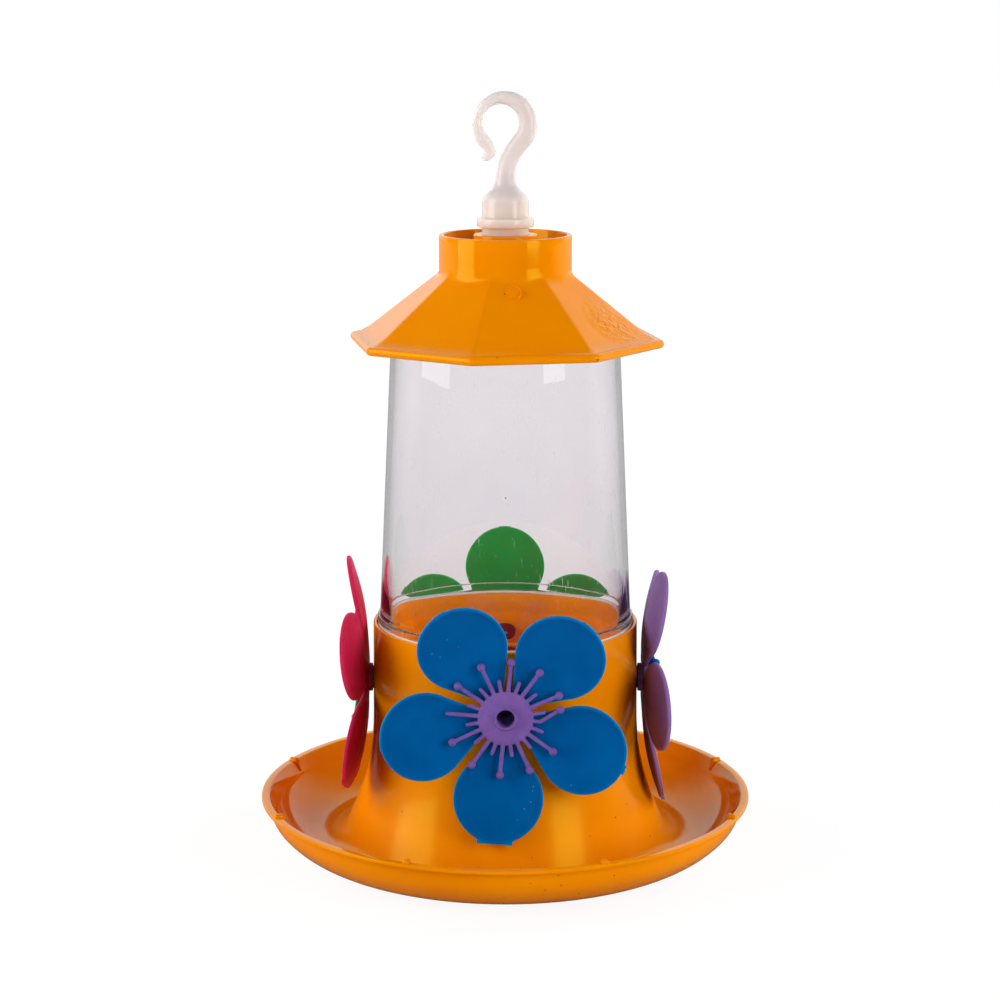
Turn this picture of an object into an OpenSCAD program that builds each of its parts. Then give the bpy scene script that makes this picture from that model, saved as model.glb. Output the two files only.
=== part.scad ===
// Hummingbird feeder: tray and column, clear reservoir, eight-sided roof, hook and four flowers.
// Millimetres, +Z up, standing on z = 0, the front flower faces -Y.

/* [Tray] */
// Outside diameter of the tray's rim
tray_d = 160; // [156:1:170]
// Height of the tray's rim
tray_h = 17.6; // [16.5:0.1:19]
// Diameter of the flat ring the feeder stands on
foot_d = 113; // [110:1:116]
// Wall of the tray
tray_wall = 1.9; // [1.6:0.1:2.2]
// Number of small lugs on the rim
lug_count = 8; // [4:1:12]

/* [Column] */
// Outside diameter at the mouth
column_d = 85.6; // [84.6:0.1:87]
// Height of the mouth
column_h = 75; // [73:0.5:78]
// Height where the wall begins to flare towards the tray
flare_z = 45; // [42:0.5:46]
// Radius of the flare
flare_r = 85; // [80:1:95]
// Radius between the flare and the tray's floor
foot_fillet = 8; // [6:0.5:9]
// Inside diameter of the mouth
mouth_d = 79.8; // [79.6:0.1:80.4]

/* [Reservoir] */
// Outside diameter just above the flange
cup_low_d = 81.3; // [80:0.1:81.8]
// Outside diameter under the roof
cup_top_d = 72.8; // [70:0.2:74]
// Wall of the cup
cup_wall = 1.7; // [1.4:0.1:2]
// Diameter of the flange
flange_d = 82.9; // [82.5:0.1:83.1]
// How deep the neck reaches into the column
neck_depth = 9; // [7:0.5:10]

/* [Roof] */
// Height of the collar's rim
collar_top = 200.1; // [198:0.1:203]
// Outside diameter of the collar
collar_d = 42; // [40:0.2:43]
// Corner to corner across the bead
roof_d = 102.2; // [98:0.2:108]
// Turn of the eight sides about the upright axis, in degrees
roof_turn = 33.3; // [0:0.1:45]
// Wall of the roof
roof_wall = 1.8; // [1.4:0.1:2]

/* [Hook] */
// Radius of the hook's round body
hook_body_r = 7.4; // [7.2:0.05:7.5]
// Height of the top of the hook
hook_top = 244.6; // [242:0.2:248]
// Outside radius of the ring
ring_out_r = 10.25; // [9.5:0.05:10.5]
// Radius of the gap inside the ring
ring_in_r = 5.7; // [5.2:0.05:6]

/* [Flowers] */
// Height of the flower ports
port_z = 55.5; // [54.5:0.1:56.5]
// Distance of each petal's middle from the port's axis
petal_at = 26; // [25:0.1:27]
// Radius of a petal
petal_r = 14; // [12.5:0.1:14.4]
// Thickness of a petal
petal_t = 1.4; // [1.1:0.1:1.6]
// Lean of the petals away from the column, in degrees
petal_lean = 12; // [10:0.5:14]
// Radius of the pistil's disc
pistil_r = 8.6; // [8:0.1:9.2]
// Radius of the feeding hole
feed_r = 2.8; // [2.4:0.05:2.9]
// Stamens in each of the two rings
stamens = 12; // [8:1:14]
// Distance of the ball tips from the port's axis
stamen_reach = 18.1; // [17:0.1:19]

/* [Hidden] */
$fn = 96;
tiny = 0.01;
play = 0.1;

orange = [0.93, 0.53, 0.03];
clear = [0.86, 0.84, 0.88, 0.35];
milky = [0.93, 0.90, 0.88];
rubber_white = [0.85, 0.84, 0.80];
blue = [0.02, 0.32, 0.57];
pink = [0.80, 0.16, 0.32];
purple = [0.42, 0.29, 0.56];
green = [0.03, 0.50, 0.21];
pistil_purple = [0.45, 0.33, 0.62];
pistil_green = [0.08, 0.52, 0.26];
pistil_blue = [0.03, 0.36, 0.66];
pistil_red = [0.62, 0.08, 0.16];

// Tray: a foot arc and a side arc that meet without a corner, outside and inside
tray_r = tray_d / 2;
foot_r = foot_d / 2;
lip_h = 1.2;
lip_out = 2.4;
edge = 0.3;
side_r = 11;
side_x = tray_r - lip_out - side_r;
side_z = tray_h - 2;
side_in_r = side_r - tray_wall;
floor_z = tray_wall + 0.3;
rim_in_r = tray_r - 2.5;
lug_r = 1.1;
rib_l = 6.9;
rib_lean = 24;

// Column: straight at the top, flared below, cored from underneath up to the vessel's floor
column_r = column_d / 2;
column_low_r = column_r + 0.25;
flare_x = column_low_r + flare_r;
fillet_z = floor_z + foot_fillet;
fillet_x = flare_x - sqrt((flare_r - foot_fillet) ^ 2 - (flare_z - fillet_z) ^ 2);
fillet_join = 180 + atan((flare_z - fillet_z) / (flare_x - fillet_x));
hollow_r = flare_r + 2.2;
vessel_floor = 2;
mouth_r = mouth_d / 2;
vessel_low_r = mouth_r - 0.3;

// Seat of the sealing ring in the mouth
seat_depth = 1;
seat_r = 41.7;
ring_r = 41.4;
ring_hole_r = 40.1;
ring_t = 1.15;
flange_z = column_h - seat_depth + ring_t;

// Reservoir
flange_t = 2.3;
flange_r = flange_d / 2;
cup_low_r = cup_low_d / 2;
cup_top_r = cup_top_d / 2;
neck_r = mouth_r - 0.4;
neck_z = column_h - neck_depth;
cup_top = collar_top - 15.1;
shoulder_z = cup_top - 16.5;
shoulder_top_r = 19.5;
crown_t = 1.9;
crown_r = 17;

// Socket in the reservoir's crown that the hook's plug snaps into
socket_lip_r = hook_body_r + 0.2;
socket_r = hook_body_r + 1;
socket_wall = 1.7;
socket_depth = 14;
lip_t = 4;

// Roof: two eight-sided slopes, a collar that holds water against ants, and a middle tube
collar_r = collar_d / 2;
collar_wall = 1.5;
moat_floor = 2;
tube_r = 10.1;
tube_bore_r = hook_body_r + 0.25;
bead_r = 1.35;
bead_at = roof_d / 2 - bead_r;
bead_z = cup_top - 18.4;
bend_r = bead_at - 4.8;
bend_z = bead_z + 3.2;
apex_r = collar_r + 0.1;
apex_z = collar_top - 11.8;
roof_slope = (bend_r - apex_r) / (apex_z - bend_z);
skin = roof_wall * 1.86;

// Hook: two circles, one inside the other, give the ring its swelling
ring_x = -0.25;
ring_z = hook_top - ring_out_r;
hole_x = -1.5;
hole_z = ring_z + 0.6;
stem_join = -40;
tip_join = 222;
body_top = collar_top + 10.1;
stem_z = body_top + 6.4;
hook_flange_r = hook_body_r + 1.65;
hook_flange_z = collar_top + 2.4;
hook_flange_t = 2.8;
plug_end = cup_top - 12.4;
barb_z = cup_top - lip_t - 0.3;

// Flower, measured outward from the feeder's axis
spacer_w = column_r + 0.45;
hub_w = spacer_w + 1.7;
hub_t = 1.8;
hub_r = 8;
spacer_r = 4.6;
petal_w = hub_w + 2.15;
cup_r = 75;
feed_tube_r = 3.7;
port_r = feed_tube_r + play;
disc_w = hub_w + hub_t + 0.1;
disc_t = 1.4;
tube_end_w = mouth_r - 6;
tube_end_t = 1.3;
drip_r = 1.1;
stamen_r = 0.65;
ball_r = 1.25;
short_reach = 12;
stamen_lean = 4;

// Puts a piece drawn along +Z onto the port at a turn about the feeder's axis
module at_port(turn) {
    rotate([0, 0, turn])
        translate([0, 0, port_z])
            rotate([90, 0, 0])
                children();
}

// Points along an arc, in the half section's plane
function arc(x, z, r, from, to, steps) =
    [for (i = [0 : steps]) let (a = from + (to - from) * i / steps) [x + r * cos(a), z + r * sin(a)]];
// Radius of an arc that leaves (x, z) level and runs into a circle of the wall without a corner
function floor_arc_r(x, z, r) =
    ((side_x - x) ^ 2 + (side_z - z) ^ 2 - r ^ 2) / (2 * (side_z - z - r));
// Angle at which that arc reaches the circle
function floor_arc_end(x, z, arc_r) = atan((side_z - z - arc_r) / (side_x - x));

// Half section of the tray and column, round the underside, the tray and the mouth
module base_section() {
    foot_arc_r = floor_arc_r(foot_r, 0, side_r);
    foot_arc_end = floor_arc_end(foot_r, 0, foot_arc_r);
    bowl_arc_r = floor_arc_r(fillet_x, floor_z, side_in_r);
    bowl_arc_end = floor_arc_end(fillet_x, floor_z, bowl_arc_r);
    underside = concat(
        [[0, flare_z - vessel_floor]],
        arc(flare_x, flare_z, hollow_r,
            180 + asin(vessel_floor / hollow_r), 180 + asin(flare_z / hollow_r), 16),
        arc(foot_r, foot_arc_r, foot_arc_r, -90, foot_arc_end, 14),
        arc(side_x, side_z, side_r, foot_arc_end, 0, 10));
    rim = [[side_x + side_r, tray_h - lip_h], [tray_r - edge, tray_h - lip_h],
           [tray_r, tray_h - lip_h + edge],
           [tray_r, tray_h - edge], [tray_r - edge, tray_h], [rim_in_r, tray_h]];
    bowl = concat(
        arc(side_x, side_z, side_in_r, -14, bowl_arc_end, 8),
        arc(fillet_x, floor_z + bowl_arc_r, bowl_arc_r, bowl_arc_end, -90, 12));
    column = concat(
        arc(fillet_x, fillet_z, foot_fillet, 270, fillet_join, 10),
        arc(flare_x, flare_z, flare_r, fillet_join, 180, 12));
    mouth = [[column_r, column_h - edge], [column_r - edge, column_h], [seat_r, column_h],
             [seat_r, column_h - seat_depth], [mouth_r, column_h - seat_depth],
             [vessel_low_r, flare_z], [0, flare_z]];
    polygon(concat(underside, rim, bowl, column, mouth));
}

// Small rounded lug that runs over the rim and tapers down the inside of the wall
module rim_lug() {
    translate([rim_in_r - 0.9, 0, tray_h - 0.1])
        rotate([0, 90, 0])
            cylinder(r = lug_r, h = tray_r - rim_in_r + 0.4, $fn = 32);
    translate([rim_in_r - 0.3 - rib_l * sin(rib_lean), 0, tray_h - 0.1 - rib_l * cos(rib_lean)])
        rotate([0, rib_lean, 0])
            cylinder(r1 = 0.3, r2 = lug_r - 0.1, h = rib_l, $fn = 32);
}

// Saucer tray and column in one moulding
module base_tray() {
    color(orange)
    difference() {
        union() {
            rotate_extrude($fn = 180)
                base_section();
            for (i = [0 : lug_count - 1])
                rotate([0, 0, (i + 0.5) * 360 / lug_count])
                    rim_lug();
        }
        for (turn = [0 : 90 : 270])
            at_port(turn)
                translate([0, 0, mouth_r - 8])
                    cylinder(r = port_r, h = 20, $fn = 64);
    }
}

// Flat ring in the mouth's seat, pressed by the flange
module sealing_ring() {
    color(rubber_white)
    rotate_extrude($fn = 180)
        translate([ring_hole_r, column_h - seat_depth])
            square([ring_r - ring_hole_r, ring_t]);
}

// Half section of the clear cup, solid
module cup_outline() {
    polygon([[0, neck_z], [neck_r, neck_z], [neck_r, flange_z], [flange_r, flange_z],
             [flange_r, flange_z + flange_t - 0.4], [flange_r - 0.4, flange_z + flange_t],
             [cup_low_r, flange_z + flange_t], [cup_top_r, shoulder_z], [cup_top_r - 2, shoulder_z + 2],
             [shoulder_top_r, cup_top - 1.2], [crown_r, cup_top], [0, cup_top]]);
}

// Half section of the space inside the clear cup
module cup_space() {
    polygon([[-1, neck_z - 1], [neck_r - cup_wall, neck_z - 1], [neck_r - cup_wall, flange_z],
             [cup_low_r - cup_wall, flange_z + flange_t + 1], [cup_top_r - cup_wall, shoulder_z - 0.6],
             [cup_top_r - cup_wall - 1.6, shoulder_z + 1],
             [shoulder_top_r - 0.8, cup_top - crown_t - 1], [crown_r - 1, cup_top - crown_t],
             [-1, cup_top - crown_t]]);
}

// Clear cup, mouth down, with the hook's socket hanging from its crown
module reservoir() {
    socket_low = cup_top - socket_depth;
    color(clear)
    rotate_extrude($fn = 180)
        difference() {
            union() {
                difference() {
                    cup_outline();
                    cup_space();
                }
                translate([0, socket_low - socket_wall])
                    square([socket_r + socket_wall, socket_depth + socket_wall - 0.5]);
            }
            translate([-1, socket_low])
                square([socket_r + 1, socket_depth - lip_t]);
            translate([-1, socket_low])
                square([socket_lip_r + 1, socket_depth + 1]);
        }
}

// Half section of the roof through a corner: slope, narrow ledge, round bead and the hollow side
module roof_section() {
    inner_top_r = bend_r - skin - roof_slope * (cup_top - bend_z);
    polygon(concat(
        [[inner_top_r, cup_top], [apex_r, apex_z], [bend_r, bend_z], [bead_at - 1.5, bead_z + bead_r + 0.1]],
        arc(bead_at, bead_z, bead_r, 110, -130, 12),
        [[bead_at - 3.3, bead_z - 0.3], [bend_r - skin, bend_z]]));
}

// Round mark of the moulding gate, on the front face near the collar
module gate_mark() {
    face_angle = atan(roof_slope * cos(22.5));
    mark_z = apex_z - 4;
    face_r = (apex_r + (apex_z - mark_z) * roof_slope) * cos(22.5);
    rotate([0, 0, roof_turn - 112.5])
        translate([face_r, -2.6, mark_z])
            rotate([0, 90 - face_angle, 0])
                translate([0, 0, -0.6])
                    cylinder(r = 3, h = 0.9, $fn = 48);
}

// Eight-sided roof with a water-filled collar round the hook's tube
module roof() {
    color(orange)
    difference() {
        union() {
            rotate([0, 0, roof_turn])
                rotate_extrude($fn = 8)
                    roof_section();
            translate([0, 0, cup_top])
                cylinder(r = collar_r, h = collar_top - cup_top, $fn = 128);
            gate_mark();
        }
        translate([0, 0, cup_top + moat_floor])
            difference() {
                cylinder(r = collar_r - collar_wall, h = 30, $fn = 128);
                translate([0, 0, -1])
                    cylinder(r = tube_r, h = collar_top - cup_top - moat_floor + 1, $fn = 96);
            }
        translate([0, 0, cup_top - 1])
            cylinder(r = tube_bore_r, h = 40, $fn = 96);
    }
}

// Point on a circle in the hook's plane
function on_circle(x, z, r, a) = [x + r * cos(a), z + r * sin(a)];
// Middle and half width of the hook's ring at an angle: [x, z, half width]
function ring_station(a) =
    let (outside = on_circle(ring_x, ring_z, ring_out_r, a), inside = on_circle(hole_x, hole_z, ring_in_r, a))
    [(outside[0] + inside[0]) / 2, (outside[1] + inside[1]) / 2, norm(outside - inside) / 2];
// Point on a curve with four control stations
function bezier(p, t) =
    p[0] * (1 - t) ^ 3 + 3 * p[1] * t * (1 - t) ^ 2 + 3 * p[2] * t ^ 2 * (1 - t) + p[3] * t ^ 3;

// Stations of the stem, the ring and the tip that turns away, each [x, z, half width]
stem_end = ring_station(stem_join);
stem_curve = [[0, stem_z, 3.4], [0, stem_z + 5.5, 2.55],
              stem_end - [6 * cos(stem_join + 90), 6 * sin(stem_join + 90), 0.2], stem_end];
tip_start = ring_station(tip_join);
tip_curve = [tip_start, tip_start + [3.5 * cos(tip_join + 90), 3.5 * sin(tip_join + 90), -0.1],
             tip_start + [2.9, -3.9, -0.1], tip_start + [1.1, -5.3, -0.3]];
stem_steps = 11;
ring_steps = 30;
tip_steps = 8;
stations = concat(
    [for (i = [0 : stem_steps - 1]) bezier(stem_curve, i / stem_steps)],
    [for (i = [0 : ring_steps - 1]) ring_station(stem_join + (tip_join - stem_join) * i / ring_steps)],
    [for (i = [0 : tip_steps]) bezier(tip_curve, i / tip_steps)]);
station_sides = 16;
last_station = len(stations) - 1;

// Unit normal of the hook's middle line at a station, in the hook's plane
function station_normal(i) =
    let (a = stations[max(i - 1, 0)], b = stations[min(i + 1, last_station)], d = [b[0] - a[0], b[1] - a[1]])
    i == 0 ? [1, 0] : [d[1], -d[0]] / norm(d);
// Ring of points round a station
function station_ring(i) =
    let (s = stations[i], n = station_normal(i))
    [for (k = [0 : station_sides - 1])
        let (a = k * 360 / station_sides)
        [s[0] + n[0] * s[2] * cos(a), s[2] * sin(a), s[1] + n[1] * s[2] * cos(a)]];

// Tapered strand swept along the stations
module hook_strand() {
    points = [for (i = [0 : last_station]) each station_ring(i)];
    sides = [for (i = [0 : last_station - 1], k = [0 : station_sides - 1])
        let (a = i * station_sides + k, b = i * station_sides + (k + 1) % station_sides)
        [a, a + station_sides, b + station_sides, b]];
    first_cap = [for (k = [0 : station_sides - 1]) k];
    last_cap = [for (k = [station_sides - 1 : -1 : 0]) last_station * station_sides + k];
    polyhedron(points, concat(sides, [first_cap, last_cap]), convexity = 6);
}

// Hanging hook with its round body, flange and snap plug
module hook() {
    tip = stations[last_station];
    color(milky) {
        difference() {
            rotate_extrude($fn = 96)
                polygon([[0, plug_end], [hook_body_r - 0.6, plug_end], [hook_body_r + 0.6, barb_z - 1],
                         [hook_body_r + 0.6, barb_z], [hook_body_r - 0.05, barb_z],
                         [hook_body_r, hook_flange_z],
                         [hook_flange_r - 0.4, hook_flange_z], [hook_flange_r, hook_flange_z + 0.4],
                         [hook_flange_r, hook_flange_z + hook_flange_t - 0.4],
                         [hook_flange_r - 0.4, hook_flange_z + hook_flange_t],
                         [hook_body_r, hook_flange_z + hook_flange_t], [hook_body_r, body_top],
                         [hook_body_r - 0.3, body_top + 1.1], [hook_body_r - 1.2, body_top + 2.5],
                         [hook_body_r - 2.5, body_top + 3.8], [hook_body_r - 3.5, body_top + 5.1],
                         [hook_body_r - 4, body_top + 6.6], [0, body_top + 6.6]]);
            translate([0, 0, plug_end - 1])
                cylinder(r = hook_body_r - 2.4, h = hook_flange_z + 4.5 - plug_end, $fn = 64);
        }
        hook_strand();
        translate([tip[0], 0, tip[1]])
            sphere(tip[2] * 0.985, $fn = 32);
    }
}

// Outline of a petal with its neck towards the hub, the petal's middle at the origin
module petal_outline() {
    neck_end = petal_at - hub_r + 1.5;
    circle(petal_r, $fn = 96);
    polygon([[-2.9, -neck_end], [2.9, -neck_end], [petal_r * 0.82, -petal_r * 0.57],
             [-petal_r * 0.82, -petal_r * 0.57]]);
}

// One cupped petal, leaning away from the column
module petal() {
    rotate([petal_lean, 0, 0])
        intersection() {
            translate([0, 0, -4])
                linear_extrude(12)
                    petal_outline();
            translate([0, 0, cup_r])
                difference() {
                    sphere(cup_r + petal_t / 2, $fn = 200);
                    sphere(cup_r - petal_t / 2, $fn = 200);
                }
        }
}

// Five petals on a hub with a spacer that stands on the column's wall
module flower(turn, shade, first_petal) {
    color(shade)
    at_port(turn)
        difference() {
            union() {
                translate([0, 0, spacer_w])
                    cylinder(r = spacer_r, h = hub_w - spacer_w + tiny, $fn = 64);
                translate([0, 0, hub_w])
                    cylinder(r = hub_r, h = hub_t, $fn = 64);
                for (i = [0 : 4])
                    rotate([0, 0, -first_petal - i * 72])
                        translate([0, petal_at, petal_w])
                            petal();
            }
            translate([0, 0, spacer_w - 1])
                cylinder(r = port_r, h = 10, $fn = 64);
        }
}

// Disc with the feeding hole, two rings of stamens and the tube that plugs into the port
module pistil(turn, shade, first_stamen) {
    color(shade)
    at_port(turn)
        difference() {
            union() {
                translate([0, 0, disc_w])
                    cylinder(r = pistil_r, h = disc_t, $fn = 72);
                translate([0, 0, disc_w + disc_t - tiny])
                    cylinder(r1 = feed_r + 1.1, r2 = feed_r + 0.7, h = 0.4, $fn = 48);
                translate([0, 0, tube_end_w])
                    cylinder(r = feed_tube_r, h = disc_w - tube_end_w + tiny, $fn = 64);
                for (i = [0 : stamens - 1])
                    rotate([0, 0, -first_stamen - i * 360 / stamens]) {
                        stamen(stamen_reach, ball_r);
                        rotate([0, 0, -180 / stamens])
                            stamen(short_reach, stamen_r);
                    }
            }
            translate([0, 0, tube_end_w + tube_end_t])
                cylinder(r = feed_r, h = 30, $fn = 48);
            translate([0, 0, tube_end_w - 1])
                cylinder(r = drip_r, h = 4, $fn = 32);
        }
}

// One stamen from inside the disc to its tip
module stamen(reach, tip_r) {
    root = pistil_r - 1;
    translate([0, root, disc_w + disc_t / 2])
        rotate([stamen_lean - 90, 0, 0]) {
            cylinder(r = stamen_r, h = reach - root, $fn = 20);
            translate([0, 0, reach - root])
                sphere(tip_r, $fn = 24);
        }
}

base_tray();
sealing_ring();
reservoir();
roof();
hook();
flower(0, blue, -31);  // front_flower
pistil(0, pistil_purple, 5.5);  // front_pistil
flower(-90, pink, -12);  // left_flower
pistil(-90, pistil_green, 0);  // left_pistil
flower(90, purple, -24);  // right_flower
pistil(90, pistil_blue, 0);  // right_pistil
flower(180, green, 0);  // back_flower
pistil(180, pistil_red, 0);  // back_pistil
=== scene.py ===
import random
from math import atan, atan2, cos, degrees, exp, hypot, log, pi, radians, sin, sqrt, tau

import bmesh
import bpy
from mathutils import Matrix, Vector


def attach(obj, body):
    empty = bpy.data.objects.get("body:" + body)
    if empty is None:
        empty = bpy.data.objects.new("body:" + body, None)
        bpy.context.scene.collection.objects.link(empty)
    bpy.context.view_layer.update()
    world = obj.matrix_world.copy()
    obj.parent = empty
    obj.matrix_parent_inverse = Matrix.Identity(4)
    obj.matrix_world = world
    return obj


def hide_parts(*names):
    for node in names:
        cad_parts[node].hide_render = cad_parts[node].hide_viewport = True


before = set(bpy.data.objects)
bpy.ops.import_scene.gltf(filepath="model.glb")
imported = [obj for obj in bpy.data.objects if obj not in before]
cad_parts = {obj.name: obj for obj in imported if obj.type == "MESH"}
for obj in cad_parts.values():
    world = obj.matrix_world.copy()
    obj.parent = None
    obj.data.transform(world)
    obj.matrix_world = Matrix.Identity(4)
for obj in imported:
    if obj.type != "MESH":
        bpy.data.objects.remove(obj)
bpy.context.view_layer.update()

# Hummingbird feeder: tray and column, clear reservoir, eight-sided roof, hook and four flowers.
# Sizes are in millimetres and angles in degrees until a mesh is made, and MM brings sizes to metres.
# Finishes, camera and lamps are in metres from the start.
MM = 0.001
MERGE = 1e-6

# Camera at the photograph's angle
CAMERA_AT = (-0.0017, -0.7768, 0.2733)
CAMERA_TILT = 78.445
CAMERA_LENS = 88.52
CAMERA_SENSOR = 36

# Faces round the turned pieces
LARGE_STEPS = 180
HOOK_STEPS = 40
HUB_STEPS = 60
DISC_STEPS = 192
STAMEN_STEPS = 16

# Turn beyond which an edge is shaded sharp, on plain pieces and on finely rounded ones
SHARP_TURN = 32
ROUNDED_SHARP_TURN = 40

# Tray
TRAY_R = 80.0
TRAY_H = 17.6
LIP_H = 1.2
LIP_W = 2.4
RIM_W = 2.5
RIM_IN_R = TRAY_R - RIM_W
FOOT_R = 56.5
TRAY_WALL = 1.9
SIDE_R = 11.0
SIDE_X = TRAY_R - LIP_W - SIDE_R
SIDE_Z = TRAY_H - 2.0
INNER_SIDE_R = SIDE_R - TRAY_WALL
INNER_SIDE_FROM = -14
FLOOR_Z = TRAY_WALL + 0.3
TRAY_EASE = 0.32

# Lugs on the tray's rim, each with a rib that leans down the inside of the wall
LUGS = 8
LUG_SIDES = 28
LUG_R = 1.1
LUG_L = 2.9
LUG_EASE = 0.45
LUG_OUT = 0.55
LUG_DROP = 0.1
RIB_R = 1.0
RIB_TIP_R = 0.3
RIB_L = 3.8
RIB_LEAN = 24.0
RIB_IN = 0.3

# Column: a vessel with a raised floor, over a hollow foot
COLUMN_R = 42.8
COLUMN_H = 75.0
COLUMN_TAPER = 0.25
FLARE_Z = 45.0
FLARE_R = 85.0
FLARE_X = COLUMN_R + COLUMN_TAPER + FLARE_R
FOOT_FILLET = 8.0
HOLLOW_WALL = 2.2
MOUTH_R = 39.9
MOUTH_FROM_Z = 70.0
SEAT_R = 41.7
SEAT_DEPTH = 1.0
SEAT_Z = COLUMN_H - SEAT_DEPTH
VESSEL_TAPER = 0.3
VESSEL_FLOOR_T = 2.0
VESSEL_RING_R = 20.0
VESSEL_EASE = 1.2
VESSEL_CORNER_R = (39.0, 41.0)
VESSEL_CORNER_Z = 46.0
PORT_Z = 55.5
PORT_R = 3.8
DRILL_SIDES = 48
DRILL_AT = 42.0
DRILL_L = 20.0

# Rows of points up the column, as shares of its height above the flare, closer round the ports
COLUMN_ROWS = (0.1, 0.18, 0.24, 0.29, 0.35, 0.41, 0.46, 0.53, 0.65, 0.82)

# Seal between the column's mouth and the reservoir's flange
SEAL_T = 1.15
SEAL_IN_R = 40.1
SEAL_OUT_R = 41.4
SEAL_EASE = 0.3

# Reservoir
FLANGE_Z = SEAT_Z + SEAL_T
FLANGE_T = 2.3
FLANGE_R = 41.45
FLANGE_EASE = 0.45
FLANGE_BELOW_Z = 90.0
CUP_LOW_R = 40.65
CUP_TOP_R = 36.4
CUP_WALL = 1.7
CUP_IN_RISE = 1.0
CUP_IN_DROP = 0.6
CUP_ROWS = [0.12 * i for i in range(1, 8)]
NECK_R = MOUTH_R - 0.4
NECK_Z = COLUMN_H - 9.0
NECK_WALL = 1.0
CUP_TOP = 185.0
SHOULDER_Z = 168.5
SHOULDER_CUT = 2.0
SHOULDER_IN_CUT = (1.6, 1.0)
SHOULDER_EASE = 0.9
SHOULDER_FROM_Z = 160.0
SHOULDER_FROM_R = 9.0
CROWN_T = 1.9
CROWN_R = 17.0
CROWN_IN_R = 16.0
CROWN_EDGE_R = 19.5
CROWN_EDGE_IN_R = 18.7
CROWN_EDGE_DROP = 1.2
CROWN_EDGE_IN_DROP = 1.0
SOCKET_R = 8.4
SOCKET_LIP_R = 7.6
SOCKET_LIP_T = 4.0
SOCKET_LOW = CUP_TOP - 14.0
SOCKET_WALL = 1.7

# Roof
ROOF_SIDES = 8
ROOF_COLUMNS = 16
ROOF_CORNER = 3.6
ROOF_TURN = 33.3
SIDE_TURN = tau / ROOF_SIDES
HALF_SIDE = pi / ROOF_SIDES
CORNER_CROWDING = 0.75
UNSOFTENED_R = 1000
COLLAR_TOP = 200.1
COLLAR_R = 21.0
COLLAR_IN_R = 19.5
COLLAR_DRAFT = 0.25
COLLAR_ROWS = (191.5, 194.5, 197.5)
COLLAR_EASE = 0.35
MOAT_FLOOR = CUP_TOP + 2.0
MOAT_EASE = 0.8
TUBE_R = 10.1
TUBE_DRAFT = 0.15
BORE_R = 7.65
BEAD_R = 1.35
BEAD_AT = 49.75
BEAD_Z = 166.6
BEND_R = BEAD_AT - 4.8
BEND_Z = BEAD_Z + 3.2
APEX_R = COLLAR_R + 0.1
APEX_Z = COLLAR_TOP - 11.8
SLOPE = (BEND_R - APEX_R) / (APEX_Z - BEND_Z)
SLOPE_ROWS = (0.2, 0.4, 0.6, 0.8, 0.92)
FILLET_OUT = 1.5
FILLET_UP = 1.7
FILLET_ROWS = (0, 0.17, 0.33, 0.5, 0.67, 0.83, 1)

# Level width of the roof's wall: its thickness, times what the slope adds to it
SKIN = 1.8 * 1.86

# Points beside the roof's bead and its bend, as steps outward and upward from them
BEAD_INSIDE = (-3.3, -0.3)
BEAD_OUTSIDE = (-1.5, 0.1)
BEND_BELOW = (0.5, -0.15)
BEND_ABOVE = (-0.4, 0.35)

# Moulding gate's mark on the roof, with its steps inward as width and rise
MARK_SIDES = 48
MARK_R = 3.05
MARK_TOP_R = 2.9
MARK_T = 1.2
MARK_STEPS = ((0.25, 0), (0.12, -0.2), (2.2, 0.3))
MARK_TURN = ROOF_TURN - 112.5
MARK_ASIDE = -2.6
MARK_DOWN = 4.0
MARK_SINK = 0.1
MARK_TILT = 8

# Nick in the roof's bead
NICK_SIZE = (1.5, 1.7, 0.7)
NICK_TURN = ROOF_TURN - 90
NICK_ASIDE = -0.5
NICK_DROP = 0.6
NICK_TILT = 38
NICK_TWIST = 25

# Hook's plug, flange and bell
HOOK_R = 7.4
HOOK_EASE = 0.4
HOOK_EASE_FROM_Z = 200.0
HOOK_EASE_FROM_R = 7.0
HOOK_FLANGE_Z = COLLAR_TOP + 2.4
HOOK_FLANGE_T = 2.8
HOOK_FLANGE_R = HOOK_R + 1.65
PLUG_R = HOOK_R - 0.05
PLUG_IN_R = HOOK_R - 2.4
PLUG_END_R = HOOK_R - 0.6
PLUG_END = CUP_TOP - 12.4
PLUG_HOLLOW_TOP = 206.0
BARB_R = HOOK_R + 0.6
BARB_Z = CUP_TOP - 4.3
BARB_T = 1.0
BODY_TOP = COLLAR_TOP + 10.1
BELL_RISE = 2.9
BELL_IN = (0.55, 3.1)
BELL_STATIONS = 14

# Hook's stem, ring and tip; the ring lies between two circles, each as x, z and radius
STEM_Z = BODY_TOP + 6.4
STEM_R = 3.4
STEM_RISE = 5.5
STEM_WAIST_R = 2.55
STEM_LEAD = 6.0
STEM_SWELL = 0.2
STEM_STATIONS = 16
RING_OUT = (-0.25, 234.35, 10.25)
RING_IN = (-1.5, 234.95, 5.7)
RING_STATIONS = 56
STEM_JOIN = -40.0
TIP_JOIN = 222.0
TIP_LEAD = 3.5
TIP_THINNING = 0.35
TIP_STEPS = ((3.0, -3.8, -0.55), (0.8, -5.0, -0.7))
TIP_STATIONS = 12
CAP_STATIONS = 6

# Flowers, measured outward from the feeder's axis
SPACER_W = COLUMN_R + 0.45
SPACER_R = 4.6
HUB_W = SPACER_W + 1.7
HUB_T = 1.8
HUB_R = 8.0
HUB_EASE = 0.3
PETAL_W = HUB_W + 2.15
PETAL_AT = 26.0
PETAL_R = 14.0
PETAL_T = 1.4
PETAL_SIDES = 120
PETAL_EASE = 0.45
PETAL_LEAN = 12.0
PETAL_CUP_R = 75.0
PETAL_GRID = 3
# Width of the painted highlight along the petals' edges, and how far outside the outline it still
# reaches
LIT_BORDER_W = 0.9
LIT_BORDER_PAST = 1.5

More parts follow.
